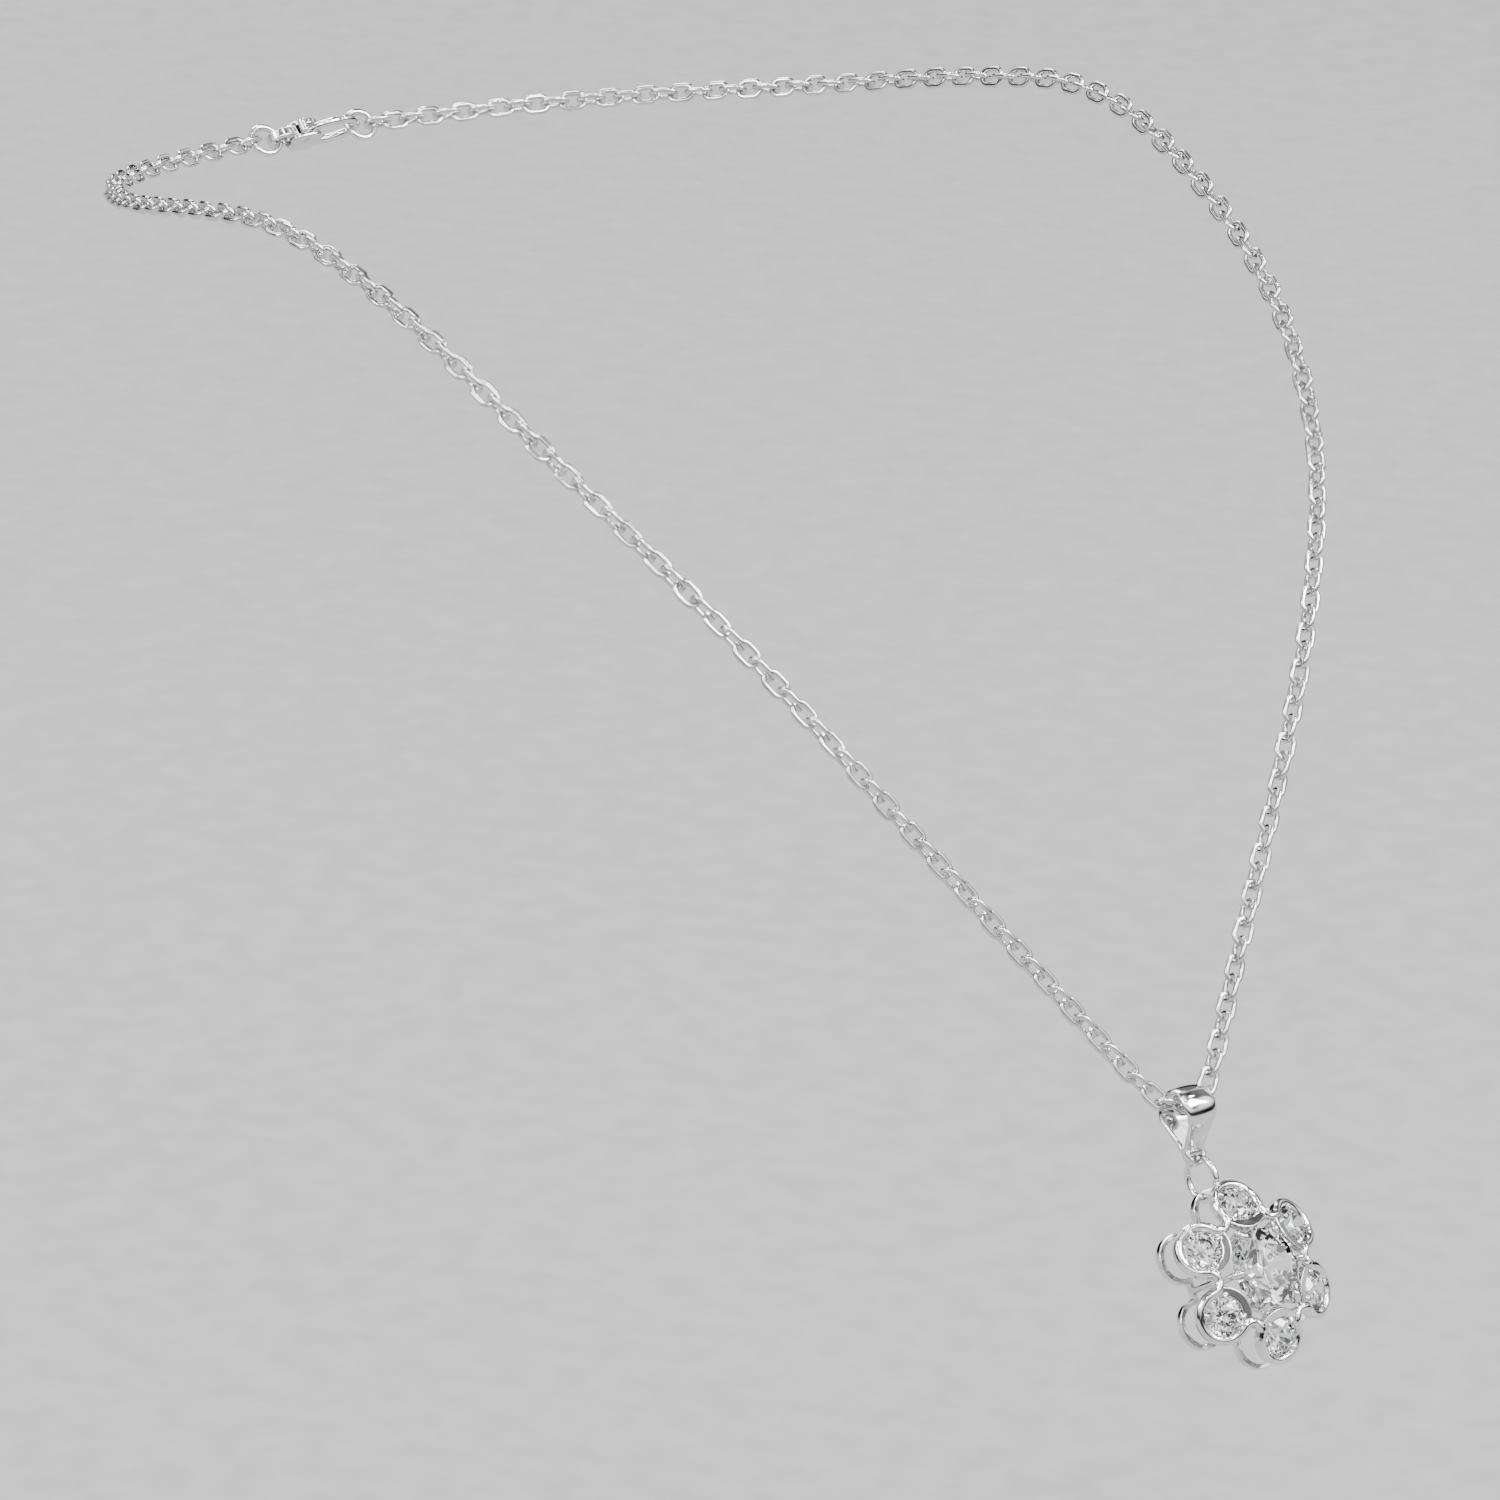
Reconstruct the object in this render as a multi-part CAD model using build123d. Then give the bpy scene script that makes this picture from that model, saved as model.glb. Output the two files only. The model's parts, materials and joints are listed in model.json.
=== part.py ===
from build123d import *
import os
from math import cos, radians, sin, tan

# A pendant necklace in the shape it takes round a neck: two strands of cable chain, a folded bail, a jump
# ring, a six-petalled flower set with stones, and a lobster clasp at the back. Millimetres, +Z up, the
# front towards -Y. The origin is the middle of the neck, level with the sides of the chain.

# ---- chain ----
LINK_WIRE = 0.48
LINK_PITCH = 1.735          # from one hooked point to the next
LINK_PLAY = 0.12            # slack where two links hook together
LINK_INSIDE_WIDTH = 1.04
LINKS_PER_SIDE = 110        # an even number, so that the last link lies flat
BUST_HEART = Vector(0, -20, -90)   # the flat links face away from this point inside the wearer

# Control points of the line of the chain on the +X side, from the bail round to the clasp.
CHAIN_ROUTE = [
    (1.5, -65.3, -58.5),
    (3.2, -64.6, -57.4),
    (11.2, -58.7, -46.9),
    (19.4, -53.0, -36.2),
    (27.3, -46.7, -25.2),
    (35.1, -38.0, -14.4),
    (40.9, -25.0, -5.0),
    (43.3, -9.5, 2.4),
    (44.9, 6.0, 6.2),
    (43.4, 21.5, 3.0),
    (38.9, 39.2, -2.0),
    (29.8, 54.6, -5.6),
    (15.8, 63.5, -7.6),
    (5.0, 65.1, -7.8),
]
STEPS_PER_BEND = 400        # points worked out along each bend of the line
CUT = 4                     # length of a cutting tool, longer than any wall here

# ---- pendant: bail, ring and flower, in a frame that leans back with the chest ----
LEAN = 34                   # degrees from upright
BAIL_WALL = 0.45
BAIL_INSIDE_RADIUS = 1.7
BAIL_TOP_GAP = 0.1          # between the flat link and the inside of the bail
BAIL_TOP_WIDTH = 3.1
BAIL_BELLY_WIDTH = 3.4
BAIL_BELLY_HEIGHT = -0.4    # where the leaf is widest, over the chain's line
BAIL_TAIL_WIDTH = 2.1
BAIL_TAIL_BACK = 1.0        # the tail sits this far behind the chain
BAIL_TAIL_THICKNESS = 0.9
BAIL_LENGTH = 6.8
BAIL_FOLD_RADIUS = 0.1      # where the two leaves meet inside
BAIL_FOLD_LIFT = 0.35
BAIL_HOLE_RADIUS = 0.6
BAIL_HOLE_EDGE = 0.34       # metal below the hole
RING_WIRE = 0.6
RING_OUTSIDE_RADIUS = 2.15
RING_DROP = 6.37            # the ring's middle, down the chest from the chain

FLOWER_DROP = 15.2          # from the chain down the chest to the middle of the flower
FLOWER_FORWARD = 1.7        # the flower's origin stands this far in front of the chain
PETALS = 6
DOME_TILT = 25              # degrees each petal leans outwards
PETAL_CIRCLE = 5.7
PETAL_SEAT = 0.6           # the petal stones' girdles above the flower's origin
PETAL_RADIUS = 2.45
PETAL_STONE_RADIUS = 1.65
RIM_ABOVE = 0.35            # rim in front of the stone's girdle
RIM_BELOW = 0.3             # and behind it
WAIST_OUTSIDE = 5.15        # the sloping ring that joins the petals
WAIST_INSIDE = 4.45
WAIST_ABOVE = 0.25
WAIST_BELOW = 0.2
SEAT_GAP = 0.03
CUP_POINT_RADIUS = 0.05     # the small end of a petal stone's cup
RAIL_HEIGHT = 0.6
RAIL_WIDTH = 0.5
RAIL_DEPTH = 2.7            # centre of the rail behind the flower's origin
RAIL_LOBE_RADIUS = 2.2
RAIL_WAIST_RADIUS = 5.0
POST_RADIUS = 0.3
HEAD_RADIUS = 2.3           # middle of the head ring's wall
HEAD_WALL = 0.8
HEAD_RISE = 0.5             # the head ring stands this far above the rail
PRONG_RADIUS = 0.3
PRONG_GAP = 0.1             # from the girdle, because the prong leans
CLAW_TIP_RADIUS = 0.3
CLAW_INSET = 0.08
CLAW_RISE = 0.35
CENTRE_STONE_RADIUS = 3.4
CENTRE_GIRDLE_HEIGHT = 1.85  # above the flower's origin
CROWN_SHARE = 0.32          # crown height over stone radius
GIRDLE_SHARE = 0.06
PAVILION_SHARE = 0.86
TABLE_SHARE = 0.56

# ---- clasp, in a frame with x along the chain and z away from the neck ----
JUMP_WIRE = 0.6
JUMP_INSIDE_RADIUS = 1.1
EYE_INSIDE_RADIUS = 0.75
EYE_WALL = 0.6
EYE_THICKNESS = 0.8
BARREL_THICKNESS = 1.9
BARREL_EDGE = 0.25
BARREL_EYE_SIDE = (-1.9, 0)
BARREL_EYE_SIDE_RADIUS = 1.3
BARREL_CLAW_SIDE = (-0.9, 0)
BARREL_CLAW_SIDE_RADIUS = 1.45
NECK_RADIUS = 1.0
SLOT_WIDTH = 0.86
SLOT_RADIUS = 1.15
SLOT_MOUTHS = [((-1.35, -1.25), 2.1, 1.6), ((-0.05, -0.65), 2.6, 2.0)]   # middle, width, height
CLAW_RADIUS = 0.42
CLAW_BACK = [(-0.9, 0.85), (0.9, 1.62), (2.7, 1.62)]
CLAW_NOSE_HEIGHT = 0.1
CLAW_UNDER = (0.9, -1.35)   # from the claw's tip, along x, and at this height
CLAW_TIP_HEIGHT = -1.72
LEVER_RADIUS = 0.38
LEVER_END = 2.1
LEVER_START = (0.5, -0.25)  # from the pivot
LEVER_BEND = (0.1, -1.35)
LEVER_TIP_HEIGHT = -1.7
LEVER_ROOT_RADIUS = 0.62
LEVER_TAIL_RADIUS = 0.5     # at the pivot
LEVER_TIP_GAP = 0.16
PIN_RADIUS = 0.3
PIN_CLEARANCE = 0.03
PIVOT = (-1.35, -0.45)
KNOB = (-2.05, -1.86)
KNOB_NECK_RADIUS = 0.3
KNOB_RADIUS = 0.42
KNOB_WIDTH = 1.2
SPRING_INNER_RADIUS = 0.86
SPRING_THICKNESS = 0.12
SPRING_ARC = (38, 160)      # degrees round the pivot
SPRING_WIDTH = 0.6


def mirrored(point):
    return Vector(-point.X, point.Y, point.Z)


def middle(a, b):
    return (a + b) * 0.5


# ---- the line of the chain ----
def chain_line():
    """Closely spaced points from the bail to the clasp, on quadratic curves between the runs' middles."""
    route = [Vector(*p) for p in CHAIN_ROUTE]
    start = middle(mirrored(route[0]), route[0])
    line = [start]
    for i, corner in enumerate(route[:-1]):
        last = i == len(route) - 2
        end = route[-1] if last else middle(corner, route[i + 1])
        for step in range(1, STEPS_PER_BEND + 1):
            t = step / STEPS_PER_BEND
            line.append(start * (1 - t) ** 2 + corner * (2 * t * (1 - t)) + end * t ** 2)
        start = end
    return line


def hooked_points(line):
    """Points where the links hook together: half a pitch from the bail, then a pitch apart."""
    here = line[0]
    reach = LINK_PITCH / 2
    places = []
    before = line[0]
    for point in line[1:]:
        if (point - here).length >= reach:
            near = (before - here).length
            share = (reach - near) / ((point - here).length - near)
            here = before + (point - before) * share
            places.append(here)
            reach = LINK_PITCH
        before = point
    if len(places) <= LINKS_PER_SIDE:
        raise ValueError(f"the route holds only {len(places) - 1} links a side")
    return places[:LINKS_PER_SIDE + 1]


def link():
    """One oval link, long along X and flat in the XY plane."""
    bend = (LINK_INSIDE_WIDTH + LINK_WIRE) / 2
    straight = (LINK_PITCH + LINK_PLAY - LINK_INSIDE_WIDTH) / 2
    side = Cylinder(LINK_WIRE / 2, 2 * straight, rotation=(0, 90, 0))
    turn = Torus(bend, LINK_WIRE / 2) & Pos(bend, 0, 0) * Box(2 * bend, 4 * bend, 4 * bend)
    right = Pos(straight, 0, 0) * turn
    return right + mirror(right, Plane.YZ) + Pos(0, bend, 0) * side + Pos(0, -bend, 0) * side


def link_place(a, b, number):
    """Where link `number` lies between two hooked points: even links lie flat, odd ones stand on edge."""
    along = (b - a).normalized()
    centre = middle(a, b)
    out = centre - BUST_HEART
    facing = (out - along * out.dot(along)).normalized()
    if number % 2:
        facing = facing.cross(along)
    return Plane(origin=centre, x_dir=along, z_dir=facing).location


# ---- stones ----
def stone(radius):
    """A round brilliant without its small facets, its girdle centred on the origin and its table up."""
    half_girdle = GIRDLE_SHARE * radius / 2
    crown = CROWN_SHARE * radius
    pavilion = PAVILION_SHARE * radius
    section = Polyline(
        (0, -half_girdle - pavilion),
        (radius, -half_girdle),
        (radius, half_girdle),
        (TABLE_SHARE * radius, half_girdle + crown),
        (0, half_girdle + crown),
        close=True,
    )
    return revolve(Plane.XZ * make_face(section), Axis.Z)


# ---- flower ----
def around(shape, count, start):
    """Copies of a shape round Z, evenly spaced from the angle `start`."""
    return [Rot(0, 0, start + 360 / count * i) * shape for i in range(count)]


def petal_places():
    """A frame in each petal, level with its stone's girdle and leaning outwards; the first is at the top."""
    leaning = Pos(PETAL_CIRCLE, 0, PETAL_SEAT) * Rot(0, DOME_TILT, 0)
    return around(leaning, PETALS, 90)


def sloping_ring():
    """A ring on the slope of the dome, between the petals."""
    rise = tan(radians(DOME_TILT))
    inside = PETAL_SEAT + (PETAL_CIRCLE - WAIST_INSIDE) * rise
    outside = PETAL_SEAT + (PETAL_CIRCLE - WAIST_OUTSIDE) * rise
    section = Polyline(
        (WAIST_INSIDE, inside - WAIST_BELOW),
        (WAIST_OUTSIDE, outside - WAIST_BELOW),
        (WAIST_OUTSIDE, outside + WAIST_ABOVE),
        (WAIST_INSIDE, inside + WAIST_ABOVE),
        close=True,
    )
    return revolve(Plane.XZ * make_face(section), Axis.Z)


def flower_frame():
    """Six leaning rims with a tapered seat in each, joined by a sloping ring."""
    rim = Pos(0, 0, (RIM_ABOVE - RIM_BELOW) / 2) * Cylinder(PETAL_RADIUS, RIM_ABOVE + RIM_BELOW)
    seat_radius = PETAL_STONE_RADIUS + SEAT_GAP
    depth = PAVILION_SHARE * PETAL_STONE_RADIUS
    seat = Pos(0, 0, CUT / 2) * Cylinder(seat_radius, CUT)
    seat += Pos(0, 0, -depth / 2) * Cone(CUP_POINT_RADIUS, seat_radius, depth)
    frame = sloping_ring() + [place * rim for place in petal_places()]
    return frame - [place * seat for place in petal_places()]


def petal_stones():
    lift = Pos(0, 0, GIRDLE_SHARE * PETAL_STONE_RADIUS / 2)
    return [place * lift * stone(PETAL_STONE_RADIUS) for place in petal_places()]


def lobed_outline(lobe_radius, waist_radius):
    """Six round lobes joined by a round waist."""
    return Circle(waist_radius) + around(Pos(PETAL_CIRCLE, 0, 0) * Circle(lobe_radius), PETALS, 90)


def gallery_rail():
    """The scalloped rail behind the petals."""
    outside = lobed_outline(RAIL_LOBE_RADIUS, RAIL_WAIST_RADIUS)
    inside = lobed_outline(RAIL_LOBE_RADIUS - RAIL_WIDTH, RAIL_WAIST_RADIUS - RAIL_WIDTH)
    return Pos(0, 0, RAIL_TOP - RAIL_HEIGHT) * extrude(outside - inside, RAIL_HEIGHT)


def head_ring():
    """The ring in the middle of the gallery that the prongs stand on."""
    height = RAIL_HEIGHT + HEAD_RISE
    ring = Cylinder(HEAD_RADIUS + HEAD_WALL / 2, height) - Cylinder(HEAD_RADIUS - HEAD_WALL / 2, height)
    return Pos(0, 0, RAIL_TOP - RAIL_HEIGHT + height / 2) * ring


def gallery_spokes():
    """Six bars from the head ring out to the waists of the rail."""
    run = RAIL_WAIST_RADIUS - RAIL_WIDTH / 2 - HEAD_RADIUS
    place = Pos(HEAD_RADIUS + run / 2, 0, RAIL_TOP - RAIL_HEIGHT / 2)
    spoke = place * Box(run, RAIL_WIDTH, RAIL_HEIGHT) - head_ring() - gallery_rail()
    return around(spoke, PETALS, 0)


def gallery_posts():
    """Six posts from the rail up to the sloping ring."""
    radius = RAIL_WAIST_RADIUS - RAIL_WIDTH / 2
    length = PETAL_SEAT + (PETAL_CIRCLE - radius) * tan(radians(DOME_TILT)) - RAIL_TOP
    post = Pos(radius, 0, RAIL_TOP + length / 2) * Cylinder(POST_RADIUS, length)
    return around(post - sloping_ring(), PETALS, 0)


def rod(a, b, radius):
    """A round bar between two points, with a ball at its far end."""
    run = Vector(*b) - Vector(*a)
    bar = Plane(origin=a, z_dir=run) * Pos(0, 0, run.length / 2) * Cylinder(radius, run.length)
    return bar + Pos(*b) * Sphere(radius)


def head_prongs():
    """Six prongs that stand on the head ring and reach over the girdle of the centre stone."""
    foot = (HEAD_RADIUS, 0, RAIL_TOP + HEAD_RISE / 2)
    shoulder = (CENTRE_STONE_RADIUS + PRONG_RADIUS + PRONG_GAP, 0, CENTRE_GIRDLE_HEIGHT)
    knee = (shoulder[0] - CLAW_INSET, 0, CENTRE_GIRDLE_HEIGHT + CLAW_RISE)
    tip = (CENTRE_STONE_RADIUS - CLAW_INSET, 0, CENTRE_GIRDLE_HEIGHT + 2 * CLAW_RISE)
    prong = rod(foot, shoulder, PRONG_RADIUS) - head_ring()
    prong += rod(shoulder, knee, CLAW_TIP_RADIUS) + rod(knee, tip, CLAW_TIP_RADIUS)
    return around(prong, PETALS, 0)


# ---- bail and ring ----
def teardrop(top_radius, tail_radius, tail_height):
    """A round top that narrows to a small round tail, in the plane across the chain."""
    top_height = BAIL_TOP - BAIL_WALL - BAIL_INSIDE_RADIUS
    big = Pos(top_height, 0) * Circle(top_radius)
    small = Pos(tail_height, -BAIL_TAIL_BACK) * Circle(tail_radius)
    return make_hull(big.edges() + small.edges())


def bail():
    """A leaf of metal folded over the chain, its two ends closed on each other round a hole."""
    tail_end = BAIL_TOP - BAIL_LENGTH
    hole_height = tail_end + BAIL_HOLE_EDGE + BAIL_HOLE_RADIUS
    join = hole_height + BAIL_HOLE_RADIUS
    outer = teardrop(BAIL_INSIDE_RADIUS + BAIL_WALL, BAIL_TAIL_THICKNESS / 2, join)
    inner = teardrop(BAIL_INSIDE_RADIUS, BAIL_FOLD_RADIUS, join + BAIL_FOLD_LIFT)
    tail = Pos((tail_end + join) / 2, -BAIL_TAIL_BACK) * Rectangle(join - tail_end, BAIL_TAIL_THICKNESS)
    band = extrude(Plane.YZ * (outer + tail - inner), BAIL_BELLY_WIDTH, both=True)
    foot = BAIL_TAIL_WIDTH / 2
    right = [(BAIL_TOP_WIDTH / 2, BAIL_TOP + BAIL_WALL), (BAIL_TOP_WIDTH / 2, BAIL_TOP)]
    right += [(BAIL_BELLY_WIDTH / 2, BAIL_BELLY_HEIGHT), (foot, tail_end + foot)]
    left = [(-x, y) for x, y in reversed(right)]
    front = make_face(Polyline(*right, *left, close=True)) + Pos(0, tail_end + foot) * Circle(foot)
    leaf = band & extrude(front, BAIL_INSIDE_RADIUS * 3, both=True)
    hole = Pos(0, hole_height, -BAIL_TAIL_BACK) * Cylinder(BAIL_HOLE_RADIUS, CUT)
    return leaf - hole


def pendant_ring():
    ring = Torus(RING_OUTSIDE_RADIUS - RING_WIRE / 2, RING_WIRE / 2, rotation=(0, 90, 0))
    return Pos(0, -RING_DROP, -BAIL_TAIL_BACK) * ring


# ---- clasp ----
def jump_ring(x):
    """A round ring on edge, its middle on the line of the chain at x."""
    return Pos(x, 0, 0) * Torus(JUMP_INSIDE_RADIUS + JUMP_WIRE / 2, JUMP_WIRE / 2, rotation=(90, 0, 0))


def disc(x, y, radius):
    return Pos(x, y) * Circle(radius)


def slab(face, thickness):
    """A flat shape made solid, half its thickness each side of the XY plane."""
    return extrude(face, thickness / 2, both=True)


def hull_of(*discs):
    return make_hull(ShapeList(e for d in discs for e in d.edges()))


def bent_bar(points, radius):
    """A round bar along a smooth curve, with round ends."""
    curve = Spline(*points)
    bar = sweep(Plane(origin=curve @ 0, z_dir=curve % 0) * Circle(radius), path=curve)
    return bar + Pos(*(curve @ 0)) * Sphere(radius) + Pos(*(curve @ 1)) * Sphere(radius)


def clasp_body(reach):
    """The barrel with its slot, the eye on the left and the claw on the right; reach is half the inside."""
    eye_x = -reach + EYE_INSIDE_RADIUS
    eye_outside = EYE_INSIDE_RADIUS + EYE_WALL
    eye_end = disc(*BARREL_EYE_SIDE, BARREL_EYE_SIDE_RADIUS)
    claw_end = disc(*BARREL_CLAW_SIDE, BARREL_CLAW_SIDE_RADIUS)
    neck = slab(hull_of(disc(eye_x, 0, eye_outside), disc(*BARREL_EYE_SIDE, NECK_RADIUS)), EYE_THICKNESS)
    barrel = slab(hull_of(eye_end, claw_end), BARREL_THICKNESS)
    barrel = fillet(barrel.edges().filter_by(GeomType.CIRCLE), BARREL_EDGE)
    tip = LEVER_END + LEVER_TIP_GAP + CLAW_RADIUS
    nose = (reach + CLAW_RADIUS, CLAW_NOSE_HEIGHT)
    under = (tip + CLAW_UNDER[0], CLAW_UNDER[1])
    claw = bent_bar([*CLAW_BACK, nose, under, (tip, CLAW_TIP_HEIGHT)], CLAW_RADIUS)
    slot = slab(disc(*PIVOT, SLOT_RADIUS), SLOT_WIDTH)
    for place, width, height in SLOT_MOUTHS:
        slot += Pos(*place, 0) * Box(width, height, SLOT_WIDTH)
    holes = Pos(eye_x, 0, 0) * Cylinder(EYE_INSIDE_RADIUS, CUT) + Pos(*PIVOT, 0) * Cylinder(PIN_RADIUS, CUT)
    return neck + barrel + claw - slot - holes


def clasp_lever():
    """The gate that swings into the claw, with its tail and thumb knob on the far side of the pin."""
    start = (PIVOT[0] + LEVER_START[0], PIVOT[1] + LEVER_START[1])
    gate = bent_bar([start, LEVER_BEND, (LEVER_END - LEVER_RADIUS, LEVER_TIP_HEIGHT)], LEVER_RADIUS)
    root = slab(disc(*PIVOT, LEVER_ROOT_RADIUS), 2 * LEVER_RADIUS)
    tail = hull_of(disc(*PIVOT, LEVER_TAIL_RADIUS), disc(*KNOB, KNOB_NECK_RADIUS))
    knob = Pos(*KNOB, 0) * Cylinder(KNOB_RADIUS, KNOB_WIDTH)
    hole = Pos(*PIVOT, 0) * Cylinder(PIN_RADIUS + PIN_CLEARANCE, CUT)
    return gate + root + slab(tail, 2 * LEVER_RADIUS) + knob - hole


def clasp_pin():
    return Pos(*PIVOT, 0) * Cylinder(PIN_RADIUS, BARREL_THICKNESS)


def clasp_spring():
    """A thin leaf curled round the lever's root inside the slot."""
    outer = SPRING_INNER_RADIUS + SPRING_THICKNESS
    ring = Circle(outer) - Circle(SPRING_INNER_RADIUS)
    start, end = SPRING_ARC
    turns = [radians(a) for a in (start, (start + end) / 2, end)]
    wedge = make_face(Polyline((0, 0), *[(CUT * cos(a), CUT * sin(a)) for a in turns], close=True))
    return Pos(*PIVOT, 0) * slab(ring & wedge, SPRING_WIDTH)


# ---- everything in place ----
RAIL_TOP = RAIL_HEIGHT / 2 - RAIL_DEPTH
BAIL_TOP = LINK_INSIDE_WIDTH / 2 + LINK_WIRE + BAIL_TOP_GAP + BAIL_WALL


def save(shape, name):
    export_step(shape, f"parts/{name}.step")


def main():
    os.makedirs("parts", exist_ok=True)
    hooks = hooked_points(chain_line())
    one_link = link()

    save(link_place(mirrored(hooks[0]), hooks[0], 0) * one_link, "centre_link")
    for name, side in (("chain_left", hooks), ("chain_right", [mirrored(p) for p in hooks])):
        links = [link_place(a, b, i + 1) * one_link for i, (a, b) in enumerate(zip(side, side[1:]))]
        save(Compound(children=links), name)

    vertex = middle(mirrored(hooks[0]), hooks[0])
    lean = radians(LEAN)
    pendant = Plane(origin=vertex, x_dir=(1, 0, 0), z_dir=(0, -cos(lean), sin(lean))).location
    save(pendant * bail(), "bail")
    save(pendant * pendant_ring(), "pendant_ring")
    flower = pendant * Pos(0, -FLOWER_DROP, FLOWER_FORWARD)
    save(flower * flower_frame(), "flower_frame")
    save(flower * gallery_rail(), "gallery_rail")
    save(flower * Compound(children=gallery_spokes()), "gallery_spokes")
    save(flower * Compound(children=gallery_posts()), "gallery_posts")
    save(flower * head_ring(), "head_ring")
    save(flower * Compound(children=head_prongs()), "head_prongs")
    save(flower * Pos(0, 0, CENTRE_GIRDLE_HEIGHT) * stone(CENTRE_STONE_RADIUS), "centre_stone")
    for i, petal_stone in enumerate(petal_stones()):
        save(flower * petal_stone, f"petal_stone_{i + 1}")

    end = hooks[-1]
    out = Vector(0, end.Y, end.Z) - BUST_HEART
    back = Plane(origin=(0, end.Y, end.Z), x_dir=(1, 0, 0), z_dir=(0, out.Y, out.Z)).location
    ring_x = end.X + LINK_PLAY / 2 - JUMP_INSIDE_RADIUS
    reach = ring_x - JUMP_INSIDE_RADIUS + LINK_PLAY
    save(back * jump_ring(-ring_x), "clasp_ring")
    save(back * jump_ring(ring_x), "end_ring")
    save(back * clasp_body(reach), "clasp_body")
    save(back * clasp_lever(), "clasp_lever")
    save(back * clasp_pin(), "clasp_pin")
    save(back * clasp_spring(), "clasp_spring")

    length = 2 * (LINK_PITCH * (LINKS_PER_SIDE + 0.5) + end.X)
    print(f"necklace {length:.1f} mm round, links end at {end}, half the clasp's inside {reach:.2f}")
    bail_axis = pendant * Pos(0, BAIL_TOP - BAIL_WALL - BAIL_INSIDE_RADIUS, 0)
    ring_centre = pendant * Pos(0, -RING_DROP, -BAIL_TAIL_BACK)
    ring_hang = ring_centre * Pos(0, RING_OUTSIDE_RADIUS - RING_WIRE / 2, 0)
    lever_pivot = back * Pos(*PIVOT, 0)
    places = {"bail": bail_axis, "ring": ring_hang, "flower": ring_centre, "clasp": back}
    places["lever"] = lever_pivot
    for name, place in places.items():
        print(f"{name} turns about {place.position}")
    print(f"chest normal {pendant.orientation}, back normal {Vector(0, out.Y, out.Z).normalized()}")


main()
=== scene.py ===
import json
import random
from math import acos, atan2, cos, pi, radians, sin, tan

import bmesh
import bpy
from mathutils import Matrix, Vector


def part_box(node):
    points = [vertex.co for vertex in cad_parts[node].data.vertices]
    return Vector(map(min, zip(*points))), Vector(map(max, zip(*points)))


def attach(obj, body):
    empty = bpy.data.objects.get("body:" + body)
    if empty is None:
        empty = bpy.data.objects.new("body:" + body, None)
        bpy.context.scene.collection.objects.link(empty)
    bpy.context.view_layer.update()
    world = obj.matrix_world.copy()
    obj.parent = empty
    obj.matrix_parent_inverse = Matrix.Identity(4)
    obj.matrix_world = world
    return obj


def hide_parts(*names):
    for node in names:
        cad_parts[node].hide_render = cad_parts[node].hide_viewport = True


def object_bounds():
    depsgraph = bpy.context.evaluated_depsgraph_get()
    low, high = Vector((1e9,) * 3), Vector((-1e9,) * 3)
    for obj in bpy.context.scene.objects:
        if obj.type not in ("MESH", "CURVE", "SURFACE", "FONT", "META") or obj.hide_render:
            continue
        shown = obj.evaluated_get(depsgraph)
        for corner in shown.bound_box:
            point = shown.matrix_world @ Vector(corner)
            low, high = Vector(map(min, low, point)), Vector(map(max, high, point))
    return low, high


# A flower pendant on a fine cable chain, in the shape it takes round a neck. The scene is in metres and
# in the frame's own axes. Shapes are built in millimetres, because they are so small, and brought to
# metres as they are placed.
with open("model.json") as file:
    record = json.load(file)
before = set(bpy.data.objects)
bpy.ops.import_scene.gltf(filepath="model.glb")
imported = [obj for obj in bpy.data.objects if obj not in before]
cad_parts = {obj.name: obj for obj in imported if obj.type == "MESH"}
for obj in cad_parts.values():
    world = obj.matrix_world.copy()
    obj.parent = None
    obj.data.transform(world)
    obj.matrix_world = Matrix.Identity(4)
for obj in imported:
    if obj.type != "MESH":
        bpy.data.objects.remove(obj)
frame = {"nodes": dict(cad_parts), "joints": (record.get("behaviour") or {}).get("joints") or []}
cad_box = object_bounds()
MM = 0.001
SHRINK = Matrix.Scale(MM, 4)
GROW = Matrix.Scale(1 / MM, 4)

# ---- sizes, in millimetres ----
LINK_WIRE = 0.48
LINK_PITCH = 1.735
LINK_PLAY = 0.12
LINK_INSIDE_WIDTH = 1.04
LINKS_PER_SIDE = 110
LINK_FLAT = 0.86            # the faces of a link are ground flat at this share of the wire's radius
LINK_TWIST = 7              # degrees, how far a link may roll from its neat place
LINKS_IN_BAIL = 2           # on each side; the bail swings past them, so they stay neat

BAIL_WALL = 0.45
BAIL_INSIDE_RADIUS = 1.7
BAIL_LENGTH = 6.8
BAIL_TOP_WIDTH = 3.1
BAIL_BELLY_WIDTH = 3.4
BAIL_TAIL_WIDTH = 2.1
BAIL_TAIL_BACK = 1.0
BAIL_TAIL_THICKNESS = 0.9
BAIL_FOLD_RADIUS = 0.1
BAIL_FOLD_LIFT = 0.35
BAIL_CROWN = 0.16           # the leaf's edges lie this much lower than its middle
BAIL_HOLE_RADIUS = 0.6
BAIL_HOLE_EDGE = 0.34
BAIL_OUTER_EDGE = 0.18      # rounding of the leaf's edges, as shares of its wall
BAIL_INNER_EDGE = 0.14
BAIL_OUTER_REACH = 0.99     # how far out the leaf's edges reach, as shares of half its width
BAIL_INNER_REACH = 0.97
BAIL_CROWN_POWER = 2.2      # the crown falls off towards the leaf's edges with this power
BAIL_CROWN_MOST = 0.4       # and never takes more than this share of the wall
BAIL_STEPS = 40             # sections along each half of the leaf
BAIL_ACROSS = 6             # steps from the middle of the leaf to its edge
BAIL_EYE_BORE_EDGE = 0.1    # chamfers of the eye, round its bore and round its rim
BAIL_EYE_RIM_EDGE = 0.12
BAIL_EYE_BORE_FLAT = 0.7    # what the chamfers leave straight, as shares of the thickness
BAIL_EYE_RIM_FLAT = 0.6
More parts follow.
